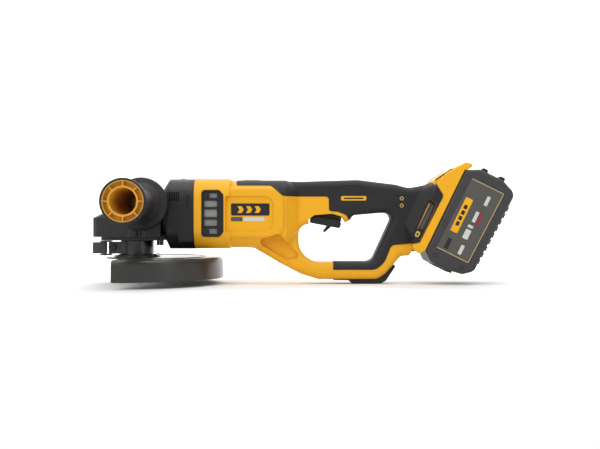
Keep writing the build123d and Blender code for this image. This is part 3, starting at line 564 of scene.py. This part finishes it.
def battery_label(word, side):
    count = 0
    plate(f"label_border_{word}", BORDER, side, LABEL_FACE, LABEL_FACE + 0.12,
          "label_cream", "battery", 0)
    plate(f"label_band_{word}", BAND, side, LABEL_FACE, LABEL_FACE + 0.16,
          "yellow_nylon", "battery", 0.04)
    plate(f"label_badge_{word}", BADGE, side, LABEL_FACE + 0.1, LABEL_FACE + 0.24,
          "label_black", "battery", 0.04)
    for i in range(4):
        mark = bar(50 + i * 8.5, 56 + i * 8.5, 21.4, 26.4, 0.6)
        plate(f"band_mark_{i}_{word}", mark, side, LABEL_FACE + 0.1, LABEL_FACE + 0.22,
              "label_black", "battery", 0.04)
    for material, bars in LABEL_MARKS.items():
        for corners in bars:
            plate(f"label_mark_{count}_{word}", bar(*corners), side, LABEL_FACE - 0.05,
                  LABEL_FACE + 0.12, material, "battery", 0.04)
            count += 1
    return count


for word, side in SIDES.items():
    print(word, "label marks:", battery_label(word, side))

# %% [markdown]
# ## Screws, ribs and the charge gauge on the pack
# Sunk screws hold the pack's shells together. A recessed head is a dark ring with a
# socket in it, and a lathe profile makes both in one piece.

# %% Turned pieces
def lathe(name, profile, place, direction, material, body, segments=32):
    """Turns (radius, height) points, in millimetres, about a direction through a place."""
    bm = bmesh.new()
    rings = []
    for radius, height in profile:
        ring = []
        for i in range(segments):
            turn = 2 * math.pi * i / segments
            spot = Vector((radius * math.cos(turn), radius * math.sin(turn), height))
            ring.append(bm.verts.new(spot * MM))
        rings.append(ring)
    for low, high in zip(rings, rings[1:]):
        for i in range(segments):
            j = (i + 1) % segments
            bm.faces.new((low[i], low[j], high[j], high[i]))
    bm.faces.new(rings[0][::-1])
    bm.faces.new(rings[-1])
    for face in bm.faces:
        face.smooth = len(face.verts) == 4
    turn = Vector((0, 0, 1)).rotation_difference(Vector(direction)).to_matrix().to_4x4()
    bmesh.ops.transform(bm, matrix=Matrix.Translation(Vector(place) * MM) @ turn, verts=bm.verts)
    return add_object(name, bm, material, body)


RECESSED_HEAD = [(3.2, -0.4), (3.4, 0.25), (3.0, 0.45), (2.4, 0.45), (2.2, -0.25),
                 (1.2, -0.3), (1.0, -0.1), (0.5, -0.1)]

for word, side in SIDES.items():
    for i, (u, n) in enumerate([(-0.6, 15.6), (-0.3, 55.2)]):
        x, z, _ = rail(u, n)
        lathe(f"pack_screw_{i}_{word}", RECESSED_HEAD, (x, side * PACK_FACE, z), (0, side, 0),
              "black_oxide", "battery")
print("pack screws: 4")

# %% Soft blocks
def soft_block(name, along, out, y, place, material, body, soften=0.5):
    """A softened bar between (low, high) pairs, where place(along, out) gives its x and z."""
    bm = bmesh.new()
    bmesh.ops.create_cube(bm, size=1.0)
    for v in bm.verts:
        a = along[0] + (along[1] - along[0]) * (v.co.x + 0.5)
        b = out[0] + (out[1] - out[0]) * (v.co.z + 0.5)
        across = y[0] + (y[1] - y[0]) * (v.co.y + 0.5)
        x, z = place(a, b)[:2]
        v.co = Vector((x, across, z)) * MM
    bmesh.ops.bevel(bm, geom=bm.edges[:], offset=soften * MM, segments=3, affect="EDGES")
    for face in bm.faces:
        face.smooth = True
    return add_object(name, bm, material, body)


def upright(x, z):
    return x, z


print("soft blocks ready")

# %% Ribs and gauge
for i in range(9):
    u = 16 + i * 10.5
    lift = 74.6 + (u - 16) * 0.046
    soft_block(f"pack_rib_{i}", (u, u + 5), (lift - 1, lift + 1.6), (-33, 33), rail,
               "grip_rubber", "battery", 0.9)
soft_block("gauge_panel", (-12.6, -10), (22, 50), (-17, 17), rail, "label_black", "battery",
           0.6)
for i in range(3):
    soft_block(f"gauge_light_{i}", (-13.0, -12.2), (32, 39), (-12 + i * 9, -6 + i * 9), rail,
               "label_cream", "battery", 0.3)
print("pack ribs: 9")

# %% [markdown]
# ## The side of the housing
# Below the name plate sits a small two-part rating strip. The rear cover carries a tan
# stripe, a grey label and a cream ring that marks the eyelet for a tool tether.

# %% Housing marks
RATING_LEFT = [(139, 63, 1), (155, 63, 1), (155, 69, 1), (139, 69, 1)]
RATING_RIGHT = [(156, 63, 1), (186, 63, 1), (186, 69, 1), (156, 69, 1)]
STRIPE = bar(22, 62, -24.2, -21.6, 0.6)
TAG = bar(24, 62, -20.0, -15.2, 0.8)
EYE_OUT = bar(11.0, 19.4, -22.2, -16.2, 2.6)
EYE_IN = bar(13.0, 17.4, -20.4, -18.0, 0.9)
CHIP_FACE = 36.1
CHEVRONS = [(148, 77, 2.4), (160, 77, 2.4), (172, 77, 2.4)]

for word, side in SIDES.items():
    plate(f"rating_dark_{word}", RATING_LEFT, side, 41.9, 42.3, "label_grey", "housing")
    plate(f"rating_light_{word}", RATING_RIGHT, side, 41.9, 42.3, "label_white", "housing")
    for i, (x, z, half) in enumerate(CHEVRONS):
        arrow = [(x, z - half, 0.3), (x + 6, z - half, 0.3), (x + 9, z + 2.4, 0.5),
                 (x + 6, z + 7.2, 0.3), (x, z + 7.2, 0.3), (x + 3, z + 2.4, 0.5)]
        plate(f"plate_chevron_{i}_{word}", arrow, side, 42.4, 42.65, "yellow_nylon",
              "housing", 0.06)
    plate(f"rear_stripe_{word}", STRIPE, side, CHIP_FACE - 0.2, CHIP_FACE + 0.3,
          "label_tan", "housing")
    plate(f"rear_tag_{word}", TAG, side, CHIP_FACE - 0.2, CHIP_FACE + 0.3,
          "label_grey", "housing")
    plate(f"tether_ring_{word}", EYE_OUT, side, CHIP_FACE - 0.2, CHIP_FACE + 0.4,
          "label_cream", "housing", holes=[EYE_IN])
print("housing marks on both sides")

# %% [markdown]
# ## Woven intake screens
# Air enters the motor through steel gauze behind the vent windows. A flat grey sheet with a
# pattern would do from afar, but up close the holes have to be real, so each wire is a thin
# bar and every second crossing passes over or under.

# %% Gauze
WIRE = 0.5                # wire thickness
PITCH = 1.0               # from wire to wire
WEAVE = 0.16              # how far a wire swings in and out
GAUZE_FACE = 42.2
GAUZE_LEFT = 101.2
GAUZE_WIDTH = 19.4
TUCK = 0.7                # how far the gauze runs behind the frame
VENT_CELLS = [(95.7, 102), (83, 91.7), (68.7, 79.6), (56.5, 65.2), (45.5, 52.5)]


def woven_run(bm, start, end, steps, phase, side):
    """One wire from start to end in X and Z that weaves in and out of the screen's plane."""
    along = (end - start).normalized()
    across = Vector((-along.y, along.x))
    rings = []
    for k in range(steps + 1):
        spot = start.lerp(end, k / steps)
        wave = WEAVE * math.cos(math.pi * k + phase)
        ring = []
        for a, b in ((-1, -1), (1, -1), (1, 1), (-1, 1)):
            p = spot + across * a * WIRE / 2
            y = side * (GAUZE_FACE + wave + b * WIRE / 2)
            ring.append(bm.verts.new(Vector((p.x, y, p.y)) * MM))
        rings.append(ring)
    for low, high in zip(rings, rings[1:]):
        for i in range(4):
            j = (i + 1) % 4
            bm.faces.new((low[i], low[j], high[j], high[i]))
    bm.faces.new(rings[0])
    bm.faces.new(rings[-1][::-1])


def gauze(bm, side):
    columns = int(GAUZE_WIDTH / PITCH)
    for low, high in VENT_CELLS:
        rows = int((high - low + 2 * TUCK) / PITCH)
        foot = low - TUCK
        for i in range(columns + 1):
            x = GAUZE_LEFT + i * PITCH
            woven_run(bm, Vector((x, foot)), Vector((x, foot + rows * PITCH)), rows,
                      math.pi * (i % 2), side)
        for j in range(rows + 1):
            z = foot + j * PITCH
            woven_run(bm, Vector((GAUZE_LEFT, z)), Vector((GAUZE_LEFT + columns * PITCH, z)),
                      columns, math.pi * ((j + 1) % 2), side)


mesh_work = bmesh.new()
for side in SIDES.values():
    gauze(mesh_work, side)
screen = add_object("vent_gauze", mesh_work, "screen_wire", "housing")
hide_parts("vent_screens")
print("gauze faces:", len(screen.data.polygons))

# %% [markdown]
# ## Ridges on the rubber grip
# The overmould has soft raised lines that follow the hand. A bevelled curve laid half into
# the rubber makes such a ridge, and unlike a bump map it still catches light in profile.

# %% Grip ridges
def ridge(name, points, radius, material, body, cyclic=False):
    """A round ridge along (x, y, z) points in millimetres."""
    data = bpy.data.curves.new(name, "CURVE")
    data.dimensions = "3D"
    data.bevel_depth = radius * MM
    data.bevel_resolution = 3
    data.use_fill_caps = True
    line = data.splines.new("BEZIER")
    line.bezier_points.add(len(points) - 1)
    for knot, spot in zip(line.bezier_points, points):
        knot.co = Vector(spot) * MM
        knot.handle_left_type = knot.handle_right_type = "AUTO"
    line.use_cyclic_u = cyclic
    data.materials.append(MATERIALS[material])
    piece = bpy.data.objects.new(name, data)
    bpy.context.scene.collection.objects.link(piece)
    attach(piece, body)
    return piece


UPPER_RIDGE = [(281.6, 106), (285, 111), (291, 113.2), (323, 113.4), (330, 110),
               (336, 106.4), (356, 104.2), (383, 101.5)]
LOWER_RIDGE = [(296, 86), (318, 84.5), (344, 84), (364, 82.5), (378, 76), (385, 64)]
GRIP_BADGE = [(294, 92.6, 2), (330, 92.6, 2), (330, 99, 2), (294, 99, 2)]
BADGE_INLAY = [(298, 94.7, 0.8), (326, 94.7, 0.8), (326, 96.9, 0.8), (298, 96.9, 0.8)]
GRIP_FACE = 21.55

for word, side in SIDES.items():
    for tag, line in (("upper", UPPER_RIDGE), ("lower", LOWER_RIDGE)):
        points = [(x, side * (GRIP_FACE - 0.25), z) for x, z in line]
        ridge(f"grip_ridge_{tag}_{word}", points, 0.75, "grip_rubber", "housing")
    plate(f"grip_badge_{word}", GRIP_BADGE, side, 21.4, 21.85, "yellow_nylon", "housing",
          0.1)
    plate(f"badge_inlay_{word}", BADGE_INLAY, side, 21.7, 21.98, "grip_rubber", "housing",
          0.05)
    for i, z in enumerate((85.4, 95.6)):
        loop = [(380.5 + 2.2 * math.cos(a), side * 21.6, z + 2.2 * math.sin(a))
                for a in (math.radians(45 * k) for k in range(8))]
        ridge(f"tether_icon_{i}_{word}", loop, 0.5, "label_cream", "housing",
              cyclic=True)
print("grip ridges: 4")

# %% [markdown]
# ## The guard's rivets and rim
# The pressed guard is riveted to its clamp band. A round bead stiffens its lower rim, and a
# pressed ring stands up from its deck.

# %% Guard details
RIVET_RING = 30.2         # radius that the rivets stand on
RIVET_SEAT = 14.4
RIVET = [(3.0, 0.0), (3.2, 0.5), (2.7, 1.4), (1.6, 2.0), (0.5, 2.2)]
for i in range(4):
    turn = math.radians(-72 + i * 48)
    spot = (RIVET_RING * math.cos(turn), RIVET_RING * math.sin(turn), RIVET_SEAT)
    lathe(f"guard_rivet_{i}", RIVET, spot, (0, 0, 1), "guard_paint", "guard", 20)


def arc(radius, height, start, end, steps):
    turns = [math.radians(start + (end - start) * k / steps) for k in range(steps + 1)]
    return [(radius * math.cos(t), radius * math.sin(t), height) for t in turns]


ridge("guard_rim_bead", arc(122.9, -16.6, -94.6, 94.6, 40), 1.25, "guard_paint", "guard")
ridge("guard_top_swage", arc(98.0, 11.7, -91, 91, 32), 1.3, "guard_paint", "guard")
print("rivets: 4, beads: 2")

# %% [markdown]
# ## Trigger ribs and small fittings
# The trigger has shallow ribs under the finger. Two pale strips lie at the front of the
# rubber, and one socket-head screw sits on top of the motor adapter.

# %% Trigger ribs, strips and a screw
TRIGGER_FRONT = (249.6, 61.2)
TRIGGER_FALL = 0.195      # how fast its underside drops towards the rear
for i in range(3):
    x = 253.5 + i * 4.2
    z = TRIGGER_FRONT[1] - (x - TRIGGER_FRONT[0]) * TRIGGER_FALL
    ridge(f"trigger_rib_{i}", [(x, y, z) for y in (-12.5, 0, 12.5)], 0.55, "black_nylon",
          "trigger")
for word, side in SIDES.items():
    ridge(f"front_inlay_{word}", [(156, side * 14, 121.5), (178, side * 14, 121.3)], 1.8,
          "label_cream", "housing")
SOCKET_HEAD = [(3.4, 0), (3.4, 1.4), (3.0, 1.9), (1.9, 1.9), (1.7, 0.9), (0.6, 0.9)]
lathe("adapter_top_screw", SOCKET_HEAD, (67, 0, 123.2), (0, 0, 1), "black_oxide", "housing",
      24)
print("trigger ribs: 3")

# %% [markdown]
# ## Lips and top marks
# The rear housing's shoulder stands a little higher than its plain CAD wall, so a block of
# yellow nylon on each side builds it up, and a raised lip runs along its upper edge,
# coloured black as painted shade for the dark groove line there. The label on top of the
# motor has three plain fields.

# %% Shoulder, lips and the marks on top
SHOULDER = [(425.2, 114, 0.5), (425.2, 121.2, 1), (431, 125.2, 3), (437.5, 129.4, 4),
            (450, 137.4, 4), (456, 137.6, 1), (440, 118, 1)]
for word, side in SIDES.items():
    plate(f"rear_shoulder_{word}", SHOULDER, side, 0, 39.4, "yellow_nylon", "housing",
          1.2)
    # The lip is black nylon as painted shade: it darkens the groove line along the shoulder's
    # upper edge.
    lip = [(425.6, side * 38.4, 121.0), (431, side * 38.4, 124.8),
           (437.5, side * 38.4, 129.0), (449, side * 38.4, 136.4)]
    ridge(f"rear_lip_painted_shade_{word}", lip, 1.1, "black_nylon", "housing")
TOP_MARKS = [(95, 103, "label_white"), (105, 116, "yellow_nylon"), (118, 127, "label_grey")]
for i, (start, end, material) in enumerate(TOP_MARKS):
    soft_block(f"top_mark_{i}", (start, end), (124.0, 124.45), (-11, 11), upright, material,
               "housing", 0.15)
print("top marks:", len(TOP_MARKS))
